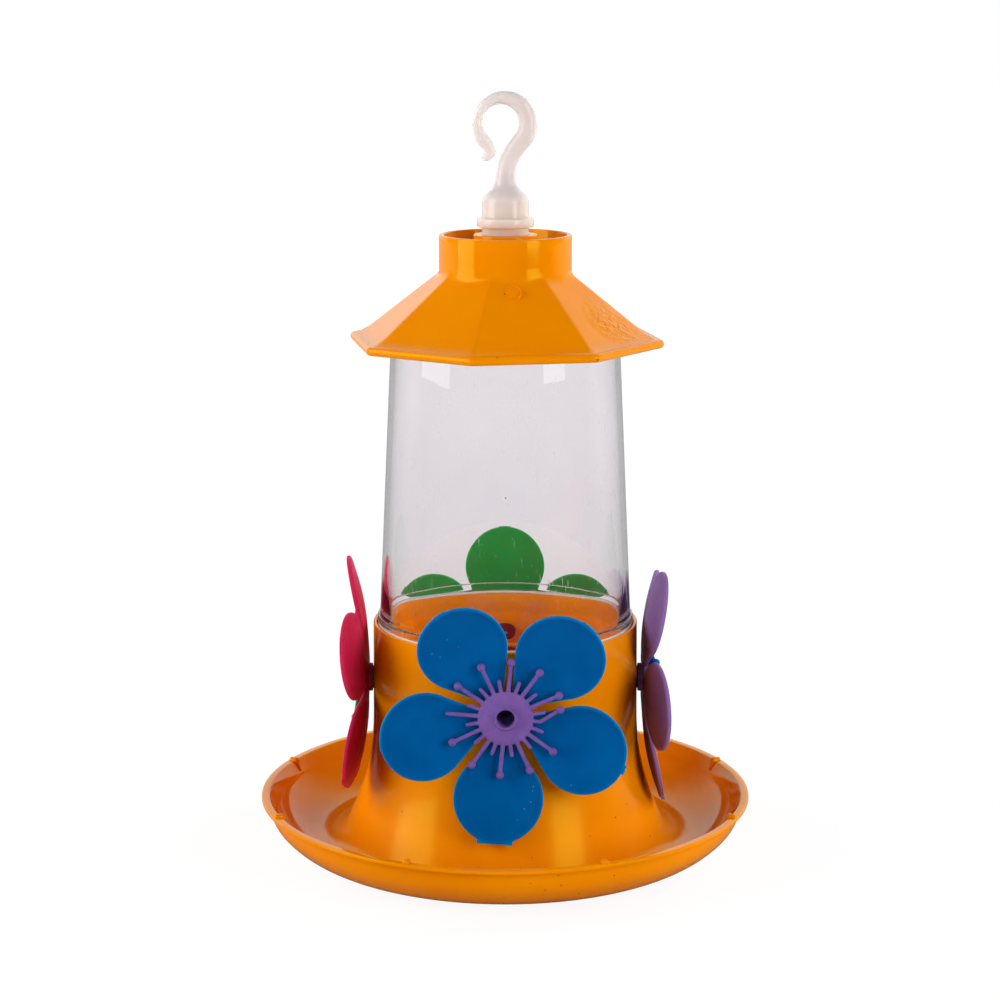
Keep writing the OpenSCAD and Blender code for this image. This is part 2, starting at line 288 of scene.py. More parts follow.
# Where a petal's round outline ends and where its neck meets the hub, with its middle at the origin
WIDE_X = PETAL_R * 0.82
WIDE_Y = -PETAL_R * 0.57
NECK_X = 2.9
NECK_Y = HUB_R - 1.5 - PETAL_AT
FLANK = hypot(WIDE_X - NECK_X, WIDE_Y - NECK_Y)

# Steps inward from a petal's edge, as share of its size and rise, on its face and on its back
PETAL_FRONT = ((0.965, 0), (0.96, -0.16), (0.945, -0.12), (0.96, -0.02))
PETAL_BACK = ((0.97, 0), (0.95, -0.1))

# Moulding gates at the petals' ends: half width, height of the torn edge and seed
PETAL_GATES = ((2.0, 0.15, 3), (2.6, 0.2, 5), (1.5, 0.9, 8), (5.6, 0.25, 13), (1.0, 0.1, 21))
GATE_STUB_T = 0.9
GATE_STUB_IN = 0.8
GATE_STUB_OUT = 0.05
GATE_STUB_EASE = 0.12

# Pistils
DISC_W = HUB_W + HUB_T + 0.1
DISC_T = 1.4
DISC_R = 8.6
DISC_RING_R = 6.5
DISC_EASE = 0.3
SCALLOP = 0.075
SCALLOP_NARROWING = 1.25
SCALLOP_FROM_R = 8.0
FEED_R = 2.8
FEED_LIP = (0.7, 1.1)
FEED_LIP_H = 0.4
FEED_TUBE_R = 3.7
TUBE_END_W = MOUTH_R - 6.0
TUBE_END_T = 1.3
TUBE_HOLE_R = 1.1
STAMENS = 12
STAMEN_R = 0.65
STAMEN_LOW_R = STAMEN_R + 0.05
STAMEN_HIGH_R = STAMEN_R - 0.08
STAMEN_ROOT = DISC_R - 1
STAMEN_REACH = 18.1
SHORT_REACH = 12.0
STAMEN_RISE = 4
BALL_R = 1.25
BALL_FROM = -58
BENT_TURN = -38
BENT_AT = 0.3

# Which stamens of the worn pistil are bent and broken, counted from the first
BENT_STAMEN = 6
BROKEN_STAMEN = 18

# Flowers and pistils: side, colour, turn of the port, turn of the first petal or stamen, tones; a
# flower's last tone is the painted highlight along its petals' edges
FLOWERS = (
    ("front", "blue", 0, -31, (0, 82, 148), (0, 92, 160), (0, 132, 196)),
    ("left", "pink", -90, -12, (186, 24, 64), (196, 32, 74), (216, 48, 90)),
    ("right", "purple", 90, -24, (118, 84, 138), (128, 94, 150), (146, 114, 174)),
    ("back", "green", 180, 0, (0, 132, 55), (0, 144, 62), (14, 160, 78)),
)
PISTILS = (
    ("front", "purple", 0, 5.5, (110, 80, 152), (122, 92, 164)),
    ("left", "green", -90, 0, (12, 134, 68), (24, 146, 80)),
    ("right", "blue", 90, 0, (6, 92, 168), (14, 102, 180)),
    ("back", "red", 180, 0, (112, 18, 26), (124, 24, 34)),
)

# Places that the finishes know, and the distances over which they fade
BOWL_POLISH_R = (0.062, 0.052)
COLLAR_POLISH_Z = (0.19, 0.186)
TURNING_MARKS_Z = (0.02, 0.012)
ROOF_RIPPLE = (0.034, -0.016, 0.1745)
ROOF_RIPPLE_R = (0.012, 0.004)
CUP_BUBBLE = (0.0, -0.0385, 0.1225)
CUP_BUBBLE_R = (0.0007, 0.0002)
# Heights over which the hook takes on the painted glow of orange light from the collar
HOOK_GLOW_Z = (0.214, 0.198)

# Standing softboxes: turn from the camera's side, foot, width, height, watts, seen in reflections
SOFTBOX_AWAY = 1.0
SOFTBOXES = (
    ("left_softbox", -72, 0.08, 0.6, 1.05, 6.0, True),
    ("left_fill", -72, 0.07, 0.95, 0.8, 5.9, False),
    ("right_softbox", 48, 0.096, 0.4, 0.9, 3.9, True),
    ("right_fill", 48, 0.07, 0.6, 0.7, 4.2, False),
)

# Softboxes behind the feeder: place and watts
BACK_AIM = (0, 0, 0.1)
BACK_SIZE = 0.8
BACK_SOFTBOXES = (
    ("back_left_softbox", (-0.9, 0.5, 0.5), 5.5),
    ("back_right_softbox", (0.9, 0.5, 0.5), 8.5),
)

# Floor and world: brightness when seen, seen through the cup, mirrored, and as light
FLOOR_R = 6
FLOOR_GREY = 0.85
FLOOR_MIRRORED_GREY = 0.12
FLOOR_GLOW = 1.06
FLOOR_NEAR, FLOOR_FAR = 0.25, 0.9
FLOOR_NEAR_GLOW = 0.86
THROUGH_CUP = 0.86
AMBIENT = 0.15
FRONT_GLOSS = 0.05
TOP_GLOSS = 0.05


# Camera
def set_camera():
    camera = bpy.data.objects.new("camera", bpy.data.cameras.new("camera"))
    bpy.context.scene.collection.objects.link(camera)
    camera.location = CAMERA_AT
    camera.rotation_euler = (radians(CAMERA_TILT), 0, 0)
    camera.data.lens = CAMERA_LENS
    camera.data.sensor_width = CAMERA_SENSOR
    bpy.context.scene.camera = camera


# Shapes that every piece uses
def arc(x, z, r, start, end, steps):
    """Points along an arc in the half section's plane."""
    angles = [radians(start + (end - start) * i / steps) for i in range(steps + 1)]
    return [(x + r * cos(a), z + r * sin(a)) for a in angles]


def between(a, b, shares):
    """Points on the straight line from a to b."""
    return [(a[0] + (b[0] - a[0]) * s, a[1] + (b[1] - a[1]) * s) for s in shares]


def stepped(at, step):
    """A point moved by a step."""
    return at[0] + step[0], at[1] + step[1]


def bezier(p, t):
    """A point on the curve of four control points."""
    s = 1 - t
    return p[0] * s ** 3 + p[1] * (3 * t * s ** 2) + p[2] * (3 * t * t * s) + p[3] * t ** 3


def turned(section, steps, closed=False):
    """A half section of (radius, height) points, turned once round the upright axis."""
    bm = bmesh.new()
    row = bm.verts.layers.int.new("row")
    line = [bm.verts.new((r * MM, 0, z * MM)) for r, z in section]
    for i, vert in enumerate(line):
        vert[row] = i
    pairs = list(zip(line, line[1:]))
    if closed:
        pairs.append((line[-1], line[0]))
    edges = [bm.edges.new(pair) for pair in pairs]
    bmesh.ops.spin(bm, geom=line + edges, cent=(0, 0, 0), axis=(0, 0, 1), angle=tau, steps=steps,
                   use_merge=True)
    bmesh.ops.remove_doubles(bm, verts=bm.verts[:], dist=MERGE)
    bmesh.ops.recalc_face_normals(bm, faces=bm.faces[:])
    return bm


def turn_at(edge):
    """Angle between the two faces at an edge, or zero where there aren't two."""
    return degrees(edge.calc_face_angle(0)) if len(edge.link_faces) == 2 else 0


def eased(bm, size, segments=3, sharper_than=35, keep=None):
    """Rounds the edges that turn more sharply than an angle, or only those of them to keep."""
    edges = [e for e in bm.edges if turn_at(e) > sharper_than and (keep is None or keep(e))]
    bmesh.ops.bevel(bm, geom=edges, offset=size * MM, offset_type="OFFSET", segments=segments,
                    profile=0.5, affect="EDGES", material=-1, clamp_overlap=True)
    return bm


def middle_z(edge):
    return (edge.verts[0].co.z + edge.verts[1].co.z) / 2 / MM


def middle_r(edge):
    return hypot(*((edge.verts[0].co + edge.verts[1].co) / 2 / MM).xy)


def in_scene(bm, name):
    """A new object that holds the shape."""
    mesh = bpy.data.meshes.new(name)
    bm.to_mesh(mesh)
    bm.free()
    piece = bpy.data.objects.new(name, mesh)
    bpy.context.scene.collection.objects.link(piece)
    return piece


def worked(bm, tool, how, overlapping=False):
    """The shape with a tool shape joined to it or cut out of it."""
    piece, cutter = in_scene(bm, "piece"), in_scene(tool, "tool")
    step = piece.modifiers.new("work", "BOOLEAN")
    step.object = cutter
    step.operation = how
    step.solver = "EXACT"
    step.use_self = overlapping
    done = piece.evaluated_get(bpy.context.evaluated_depsgraph_get()).to_mesh()
    result = bmesh.new()
    result.from_mesh(done)
    for thing in (piece, cutter):
        mesh = thing.data
        bpy.data.objects.remove(thing)
        bpy.data.meshes.remove(mesh)
    bmesh.ops.remove_doubles(result, verts=result.verts[:], dist=MERGE)
    return result


def added(bm, other):
    """Adds another shape's faces to a shape."""
    mesh = bpy.data.meshes.new("part")
    other.to_mesh(mesh)
    other.free()
    bm.from_mesh(mesh)
    bpy.data.meshes.remove(mesh)
    return bm


def hand_over(bm, name, material, body, node, sharp=SHARP_TURN):
    """Shades a shape, gives it its finish and lets it ride on its body in place of its solid."""
    for face in bm.faces:
        face.smooth = True
    piece = in_scene(bm, name)
    piece.data.set_sharp_from_angle(angle=radians(sharp))
    piece.data.materials.append(material)
    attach(piece, body)
    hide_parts(node)
    return piece


def at_port(turn):
    """Place of a port: drawn along +Z, it faces outward at a turn about the feeder's axis."""
    return (Matrix.Rotation(radians(turn), 4, "Z") @ Matrix.Translation((0, 0, PORT_Z * MM))
            @ Matrix.Rotation(radians(90), 4, "X"))


# Tray and column
def floor_arc(x, z, r):
    """Radius and end angle of an arc that leaves (x, z) level and runs into the side's circle."""
    size = ((SIDE_X - x) ** 2 + (SIDE_Z - z) ** 2 - r ** 2) / (2 * (SIDE_Z - z - r))
    return size, degrees(atan((SIDE_Z - z - size) / (SIDE_X - x)))


def tray_section():
    """Half section from the hollow foot, round the tray and the column, to the vessel's floor."""
    fillet_z = FLOOR_Z + FOOT_FILLET
    fillet_x = FLARE_X - sqrt((FLARE_R - FOOT_FILLET) ** 2 - (FLARE_Z - fillet_z) ** 2)
    fillet_join = 180 + degrees(atan((FLARE_Z - fillet_z) / (FLARE_X - fillet_x)))
    hollow_z = FLARE_Z - VESSEL_FLOOR_T
    hollow_r = FLARE_R + HOLLOW_WALL
    hollow_from = 180 + degrees(atan(VESSEL_FLOOR_T / sqrt(hollow_r ** 2 - VESSEL_FLOOR_T ** 2)))
    hollow_to = 180 + degrees(atan(FLARE_Z / sqrt(hollow_r ** 2 - FLARE_Z ** 2)))
    foot_arc, foot_end = floor_arc(FOOT_R, 0, SIDE_R)
    bowl_arc, bowl_end = floor_arc(fillet_x, FLOOR_Z, INNER_SIDE_R)
    column_low, column_top = (COLUMN_R + COLUMN_TAPER, FLARE_Z), (COLUMN_R, COLUMN_H)
    vessel_low, vessel_top = (MOUTH_R - VESSEL_TAPER, FLARE_Z), (MOUTH_R, SEAT_Z)
    section = [(0, hollow_z), (VESSEL_RING_R, hollow_z)]
    section += arc(FLARE_X, FLARE_Z, hollow_r, hollow_from, hollow_to, steps=18)
    section += arc(FOOT_R, foot_arc, foot_arc, -90, foot_end, steps=16)
    section += arc(SIDE_X, SIDE_Z, SIDE_R, foot_end, 0, steps=12)[1:]
    section += [(SIDE_X + SIDE_R, TRAY_H - LIP_H), (TRAY_R, TRAY_H - LIP_H)]
    section += [(TRAY_R, TRAY_H), (RIM_IN_R, TRAY_H)]
    section += arc(SIDE_X, SIDE_Z, INNER_SIDE_R, INNER_SIDE_FROM, bowl_end, steps=8)
    section += arc(fillet_x, FLOOR_Z + bowl_arc, bowl_arc, bowl_end, -90, steps=14)[1:]
    section += arc(fillet_x, fillet_z, FOOT_FILLET, 270, fillet_join, steps=10)[1:]
    section += arc(FLARE_X, FLARE_Z, FLARE_R, fillet_join, 180, steps=16)[1:]
    section += between(column_low, column_top, COLUMN_ROWS) + [column_top]
    section += [(SEAT_R, COLUMN_H), (SEAT_R, SEAT_Z), vessel_top]
    section += between(vessel_low, vessel_top, COLUMN_ROWS[::-1]) + [vessel_low]
    return section + [(VESSEL_RING_R, FLARE_Z), (0, FLARE_Z)]


def rim_lugs():
    """Small rounded lugs that run over the rim and taper down the inside of the wall."""
    lugs = bmesh.new()
    top = TRAY_H - LUG_DROP
    rib_place = (Matrix.Translation(Vector((RIM_IN_R - RIB_IN, 0, top)) * MM)
                 @ Matrix.Rotation(radians(RIB_LEAN), 4, "Y")
                 @ Matrix.Translation((0, 0, -RIB_L / 2 * MM)))
    for i in range(LUGS):
        lug = bmesh.new()
        bmesh.ops.create_cone(lug, cap_ends=True, segments=LUG_SIDES, radius1=LUG_R * MM,
                              radius2=LUG_R * MM, depth=LUG_L * MM)
        eased(lug, LUG_EASE, sharper_than=60)
        bmesh.ops.rotate(lug, verts=lug.verts[:], matrix=Matrix.Rotation(radians(90), 3, "Y"))
        bmesh.ops.translate(lug, verts=lug.verts[:], vec=Vector((RIM_IN_R + LUG_OUT, 0, top)) * MM)
        bmesh.ops.create_cone(lug, cap_ends=True, segments=LUG_SIDES, radius1=RIB_TIP_R * MM,
                              radius2=RIB_R * MM, depth=RIB_L * MM, matrix=rib_place)
        turn = Matrix.Rotation(tau * (i + 0.5) / LUGS, 3, "Z")
        bmesh.ops.rotate(lug, verts=lug.verts[:], matrix=turn)
        added(lugs, lug)
    return lugs


def port_drills():
    drills = bmesh.new()
    for turn in (0, 90, 180, 270):
        place = at_port(turn) @ Matrix.Translation((0, 0, DRILL_AT * MM))
        bmesh.ops.create_cone(drills, cap_ends=True, segments=DRILL_SIDES, radius1=PORT_R * MM,
                              radius2=PORT_R * MM, depth=DRILL_L * MM, matrix=place)
    return drills


def make_tray(finish):
    inner, outer = VESSEL_CORNER_R
    bm = turned(tray_section(), LARGE_STEPS)
    eased(bm, TRAY_EASE, keep=lambda e: middle_r(e) > outer or middle_z(e) > MOUTH_FROM_Z)
    eased(bm, VESSEL_EASE, segments=4, sharper_than=60,
          keep=lambda e: inner < middle_r(e) < outer and middle_z(e) < VESSEL_CORNER_Z)
    bm = worked(bm, rim_lugs(), "UNION", overlapping=True)
    bm = worked(bm, port_drills(), "DIFFERENCE")
    return hand_over(bm, "tray_and_column", finish, "base", "base_tray")


def make_seal(finish):
    section = [(SEAL_IN_R, SEAT_Z), (SEAL_OUT_R, SEAT_Z), (SEAL_OUT_R, FLANGE_Z), (SEAL_IN_R, FLANGE_Z)]
    bm = turned(section, LARGE_STEPS, closed=True)
    eased(bm, SEAL_EASE)
    return hand_over(bm, "seal_washer", finish, "seal", "sealing_ring")


# Clear reservoir
def cup_section():
    """Half section from the socket in the crown, down the outside and up the inside of the cup."""
    flange_top = FLANGE_Z + FLANGE_T
    crown_in = CUP_TOP - CROWN_T
    neck_in_r = NECK_R - NECK_WALL
    socket_out_r, socket_under = SOCKET_R + SOCKET_WALL, SOCKET_LOW - SOCKET_WALL
    low_out, top_out = (CUP_LOW_R, flange_top), (CUP_TOP_R, SHOULDER_Z)
    low_in = (CUP_LOW_R - CUP_WALL, flange_top + CUP_IN_RISE)
    top_in = (CUP_TOP_R - CUP_WALL, SHOULDER_Z - CUP_IN_DROP)
    section = [(0, SOCKET_LOW), (SOCKET_R, SOCKET_LOW), (SOCKET_R, CUP_TOP - SOCKET_LIP_T)]
    section += [(SOCKET_LIP_R, CUP_TOP - SOCKET_LIP_T), (SOCKET_LIP_R, CUP_TOP)]
    section += [(CROWN_R, CUP_TOP), (CROWN_EDGE_R, CUP_TOP - CROWN_EDGE_DROP)]
    section += [(CUP_TOP_R - SHOULDER_CUT, SHOULDER_Z + SHOULDER_CUT), top_out]
    section += between(top_out, low_out, CUP_ROWS) + [low_out]
    section += [(FLANGE_R, flange_top), (FLANGE_R, FLANGE_Z), (NECK_R, FLANGE_Z)]
    section += [(NECK_R, NECK_Z), (neck_in_r, NECK_Z), (neck_in_r, FLANGE_Z), low_in]
    section += between(low_in, top_in, CUP_ROWS) + [top_in]
    section += [(CUP_TOP_R - CUP_WALL - SHOULDER_IN_CUT[0], SHOULDER_Z + SHOULDER_IN_CUT[1])]
    section += [(CROWN_EDGE_IN_R, crown_in - CROWN_EDGE_IN_DROP), (CROWN_IN_R, crown_in)]
    return section + [(socket_out_r, crown_in), (socket_out_r, socket_under), (0, socket_under)]


def make_reservoir(finish):
    bm = turned(cup_section(), LARGE_STEPS)
    eased(bm, FLANGE_EASE, segments=4, sharper_than=25, keep=lambda e: middle_z(e) < FLANGE_BELOW_Z)
    eased(bm, SHOULDER_EASE, segments=4, sharper_than=15,
          keep=lambda e: middle_z(e) > SHOULDER_FROM_Z and middle_r(e) > SHOULDER_FROM_R)
    cup = hand_over(bm, "clear_cup", finish, "reservoir", "reservoir")
    cup.visible_shadow = False
    return cup


# Roof
def side_reach(radius, angle):
    """Reach of an eight-sided outline with softened corners, given its corner radius and an angle."""
    middles = [(j + 0.5) * SIDE_TURN for j in range(ROOF_SIDES)]
    nearest = sorted(abs((angle - middle + pi) % tau - pi) for middle in middles)[:2]
    flat = [radius * cos(HALF_SIDE) / cos(a) for a in nearest]
    return flat[0] - log(1 + exp(-ROOF_CORNER * (flat[1] - flat[0]))) / ROOF_CORNER


def roof_rows():
    """Closed section of the roof: radius, height and how the row is shaped."""
    inner_low = (BEND_R - SKIN, BEND_Z)
    inner_top = (BEND_R - SKIN - SLOPE * (CUP_TOP - BEND_Z), CUP_TOP)
    sides = [inner_top] + between(inner_top, inner_low, (0.25, 0.5, 0.75, 1))
    sides += [stepped((BEAD_AT, BEAD_Z), BEAD_INSIDE)]
    sides += arc(BEAD_AT, BEAD_Z, BEAD_R, -130, 110, steps=14)
    sides += [stepped((BEAD_AT, BEAD_Z + BEAD_R), BEAD_OUTSIDE)]
    sides += [stepped((BEND_R, BEND_Z), step) for step in (BEND_BELOW, BEND_ABOVE)]
    collar = [(COLLAR_R, z) for z in COLLAR_ROWS] + [(COLLAR_R, COLLAR_TOP), (COLLAR_IN_R, COLLAR_TOP)]
    collar += [(COLLAR_IN_R - COLLAR_DRAFT, MOAT_FLOOR), (TUBE_R + TUBE_DRAFT, MOAT_FLOOR)]
    collar += [(TUBE_R, COLLAR_TOP), (BORE_R, COLLAR_TOP), (BORE_R, CUP_TOP)]
    rows = [(r, z, "sides") for r, z in sides]
    # The slope and the fillet get their place from above_bend, so here their rows only lie apart
    rows += [(30 - 5 * s, 172 + 9 * s, ("slope", s)) for s in SLOPE_ROWS]
    rows += [(30 - 5 * s, 173 + 9 * s, ("fillet", s)) for s in FILLET_ROWS]
    return rows + [(r, z, "round") for r, z in collar]


def above_bend(angle, part, share):
    """Radius and height at a share of the slope, or of the fillet between the slope and the collar."""
    reach = side_reach(UNSOFTENED_R, angle) / UNSOFTENED_R
    corner_r = (COLLAR_R + FILLET_OUT) / reach
    foot = (side_reach(corner_r, angle), APEX_Z - (corner_r - APEX_R) / SLOPE)
    if part == "slope":
        z = BEND_Z + BEND_ABOVE[1] + (foot[1] - BEND_Z - BEND_ABOVE[1]) * share
        return side_reach(APEX_R + (APEX_Z - z) * SLOPE, angle), z
    meet = (COLLAR_R, APEX_Z - (COLLAR_R / reach - APEX_R) / SLOPE)
    top = (COLLAR_R, meet[1] + FILLET_UP)
    left = 1 - share
    return [a * left ** 2 + 2 * b * share * left + c * share * share for a, b, c in zip(foot, meet, top)]


def shape_roof(vert, kind):
    """Moves a point of the turned roof to its place on the sides, the collar or between them."""
    angle = atan2(vert.co.y, vert.co.x)
    sector = angle % SIDE_TURN / SIDE_TURN
    angle += SIDE_TURN * -CORNER_CROWDING * sin(tau * sector) / tau
    r, z = hypot(vert.co.x, vert.co.y) / MM, vert.co.z / MM
    if kind == "sides":
        r = side_reach(r, angle)
    elif kind != "round":
        r, z = above_bend(angle, *kind)
    vert.co = Vector((r * cos(angle), r * sin(angle), z)) * MM


def gate_mark():
    """Round mark of the moulding gate, a low dome inside a raised edge."""
    mark = bmesh.new()
    bmesh.ops.create_cone(mark, cap_ends=True, segments=MARK_SIDES, radius1=MARK_R * MM,
                          radius2=MARK_TOP_R * MM, depth=MARK_T * MM)
    top = [f for f in mark.faces if f.normal.z > 0.9]
    for width, rise in MARK_STEPS:
        bmesh.ops.inset_region(mark, faces=top, thickness=width * MM, depth=rise * MM)
    face_angle = atan(SLOPE * cos(HALF_SIDE))
    mark_z = APEX_Z - MARK_DOWN
    face_r = (APEX_R + (APEX_Z - mark_z) * SLOPE) * cos(HALF_SIDE)
    place = (Matrix.Rotation(radians(MARK_TURN), 4, "Z")
             @ Matrix.Translation(Vector((face_r, MARK_ASIDE, mark_z)) * MM)
             @ Matrix.Rotation(pi / 2 - face_angle, 4, "Y")
             @ Matrix.Translation((0, 0, -MARK_SINK * MM))
             @ Matrix.Rotation(radians(MARK_TILT), 4, "X"))
    bmesh.ops.transform(mark, matrix=place, verts=mark.verts[:])
    return mark


def bead_nick():
    """Small torn place in the roof's bead, at the corner on the right of the front."""
    nick = bmesh.new()
    place = (Matrix.Rotation(radians(NICK_TURN), 4, "Z")
             @ Matrix.Translation(Vector((BEAD_AT + BEAD_R, NICK_ASIDE, BEAD_Z - NICK_DROP)) * MM)
             @ Matrix.Rotation(radians(NICK_TILT), 4, "X")
             @ Matrix.Rotation(radians(NICK_TWIST), 4, "Z")
             @ Matrix.Diagonal(Vector((*NICK_SIZE, 1 / MM)) * MM))
    bmesh.ops.create_cube(nick, size=1, matrix=place)
    return nick


def in_moat(edge):
    return middle_z(edge) < MOAT_FLOOR + 0.5 and TUBE_R - 0.1 < middle_r(edge) < COLLAR_IN_R + 0.1


def make_roof(finish):
    rows = roof_rows()
    bm = turned([(r, z) for r, z, kind in rows], ROOF_SIDES * ROOF_COLUMNS, closed=True)
    row = bm.verts.layers.int["row"]
    for vert in bm.verts:
        shape_roof(vert, rows[vert[row]][2])
    bmesh.ops.recalc_face_normals(bm, faces=bm.faces[:])
    eased(bm, COLLAR_EASE, sharper_than=60, keep=lambda e: middle_z(e) > COLLAR_TOP - 1)
    eased(bm, MOAT_EASE, sharper_than=60, keep=in_moat)
    bmesh.ops.rotate(bm, verts=bm.verts[:], matrix=Matrix.Rotation(radians(ROOF_TURN), 3, "Z"))
    bm = worked(bm, gate_mark(), "UNION")
    bm = worked(bm, bead_nick(), "DIFFERENCE")
    return hand_over(bm, "eight_sided_roof", finish, "roof", "roof",
                     sharp=ROUNDED_SHARP_TURN)


# Hook
def ring_station(angle):
    """Middle and half width of the hook's ring at an angle."""
    a = radians(angle)
    ends = [Vector((x + r * cos(a), z + r * sin(a))) for x, z, r in (RING_OUT, RING_IN)]
    middle = (ends[0] + ends[1]) / 2
    return Vector((middle.x, middle.y, (ends[0] - ends[1]).length / 2))


def ring_heading(angle):
    """Direction in which the hook's ring runs at an angle."""
    return Vector((cos(radians(angle + 90)), sin(radians(angle + 90)), 0))


def hook_stations():
    """Stem, ring and the tip that turns away, each as x, z and half width."""
    stem_end, tip_start = ring_station(STEM_JOIN), ring_station(TIP_JOIN)
    stem = [Vector((0, STEM_Z, STEM_R)), Vector((0, STEM_Z + STEM_RISE, STEM_WAIST_R)),
            stem_end - ring_heading(STEM_JOIN) * STEM_LEAD - Vector((0, 0, STEM_SWELL)), stem_end]
    tip = [tip_start, tip_start + ring_heading(TIP_JOIN) * TIP_LEAD - Vector((0, 0, TIP_THINNING))]
    tip += [tip_start + Vector(step) for step in TIP_STEPS]
    round_turn = TIP_JOIN - STEM_JOIN
    stations = [bezier(stem, i / STEM_STATIONS) for i in range(STEM_STATIONS)]
    stations += [ring_station(STEM_JOIN + round_turn * i / RING_STATIONS) for i in range(RING_STATIONS)]
    return stations + [bezier(tip, i / TIP_STATIONS) for i in range(TIP_STATIONS + 1)]


def tip_cap(stations):
    """Stations that close the hook's tip with a half round."""
    heading = (stations[-1].xy - stations[-2].xy).normalized()
    cap = []
    for i in range(1, CAP_STATIONS):
        a = i / CAP_STATIONS * pi / 2
        station = stations[-1].copy()
        station.xy += heading * station.z * sin(a)
        station.z *= cos(a)
        cap.append(station)
    return cap


def body_section():
    """Half section of the hook's plug, flange and bell, up to the stem."""
    flange_top = HOOK_FLANGE_Z + HOOK_FLANGE_T
    section = [(0, PLUG_HOLLOW_TOP), (PLUG_IN_R, PLUG_HOLLOW_TOP), (PLUG_IN_R, PLUG_END)]
    section += [(PLUG_END_R, PLUG_END), (BARB_R, BARB_Z - BARB_T), (BARB_R, BARB_Z), (PLUG_R, BARB_Z)]
    section += [(HOOK_R, HOOK_FLANGE_Z), (HOOK_FLANGE_R, HOOK_FLANGE_Z)]
    section += [(HOOK_FLANGE_R, flange_top), (HOOK_R, flange_top)]
    bell = [Vector((HOOK_R, BODY_TOP)), Vector((HOOK_R, BODY_TOP + BELL_RISE)),
            Vector(stepped((STEM_R, BODY_TOP), BELL_IN)), Vector((STEM_R, STEM_Z))]
    return section + [tuple(bezier(bell, i / BELL_STATIONS)) for i in range(BELL_STATIONS + 1)]


def swept(bm, stations):
    """Draws a shape's open ring of edges along the stations and closes its end."""
    ring = [e for e in bm.edges if len(e.link_faces) == 1]
    place = Matrix.Translation((0, 0, STEM_Z * MM)) @ Matrix.Diagonal((STEM_R, STEM_R, STEM_R, 1))
    for i in range(1, len(stations)):
        station = stations[i]
        after = stations[min(i + 1, len(stations) - 1)]
        way = (after.xy - stations[i - 1].xy).normalized()
        following = (Matrix.Translation(Vector((station.x, 0, station.y)) * MM)
                     @ Matrix.Rotation(atan2(way.x, way.y), 4, "Y")
                     @ Matrix.Diagonal((station.z, station.z, station.z, 1)))
        grown = bmesh.ops.extrude_edge_only(bm, edges=ring)["geom"]
        verts = [g for g in grown if isinstance(g, bmesh.types.BMVert)]
        ring = [g for g in grown if isinstance(g, bmesh.types.BMEdge) and len(g.link_faces) == 1]
        bmesh.ops.transform(bm, matrix=following @ place.inverted(), verts=verts)
        place = following
    bmesh.ops.contextual_create(bm, geom=ring)
    bmesh.ops.recalc_face_normals(bm, faces=bm.faces[:])
    return bm


def make_hook(finish):
    bm = turned(body_section(), HOOK_STEPS)
    eased(bm, HOOK_EASE, segments=4, sharper_than=50,
          keep=lambda e: middle_z(e) > HOOK_EASE_FROM_Z and middle_r(e) > HOOK_EASE_FROM_R)
    stations = hook_stations()
    swept(bm, stations + tip_cap(stations))
    return hand_over(bm, "hanging_hook", finish, "hook", "hook",
                     sharp=ROUNDED_SHARP_TURN)


# Flowers
def petal_neck(vert):
    """Draws the hub end of a round petal out into its neck."""
    x, y = vert.co.x / MM, vert.co.y / MM
    if y > WIDE_Y + 0.01:
        return
    run = abs(atan2(x, -y)) / atan2(WIDE_X, -WIDE_Y) * (FLANK + NECK_X)
    side = 1 if x >= 0 else -1
    if run < NECK_X:
        vert.co.xy = side * run * MM, NECK_Y * MM
    else:
        (at_x, at_y), = between((NECK_X, NECK_Y), (WIDE_X, WIDE_Y), [(run - NECK_X) / FLANK])
        vert.co.xy = side * at_x * MM, at_y * MM


def cupped(bm):
    """Lifts a petal's outer parts, so that its face is hollow."""
    for vert in bm.verts:
        vert.co.z += vert.co.xy.length_squared / (2 * PETAL_CUP_R * MM)
    return bm


def gate_stub(half, ragged, seed):
    """Torn stub of the moulding gate at a petal's outer end."""
    bm = bmesh.new()
    start = sqrt(PETAL_R ** 2 - half ** 2) - GATE_STUB_IN
    end = PETAL_R + GATE_STUB_OUT
    place = (Matrix.Translation(Vector((0, (start + end) / 2, 0)) * MM)
             @ Matrix.Diagonal((2 * half * MM, (end - start) * MM, GATE_STUB_T * MM, 1)))
    bmesh.ops.create_cube(bm, size=1, matrix=place)
    across = [e for e in bm.edges if abs(e.verts[0].co.x - e.verts[1].co.x) > half * MM]
    bmesh.ops.subdivide_edges(bm, edges=across, cuts=2 + round(2 * half), use_grid_fill=True)
    chance = random.Random(seed)
    for vert in sorted(bm.verts, key=lambda v: (round(v.co.x, 6), v.co.z)):
        if vert.co.y > (end - 0.1) * MM:
            vert.co.y += ragged * chance.random() * MM
    eased(bm, GATE_STUB_EASE, segments=2, sharper_than=60)
    return cupped(bm)


def is_level(edge):
    return abs(edge.verts[0].co.z - edge.verts[1].co.z) < MERGE


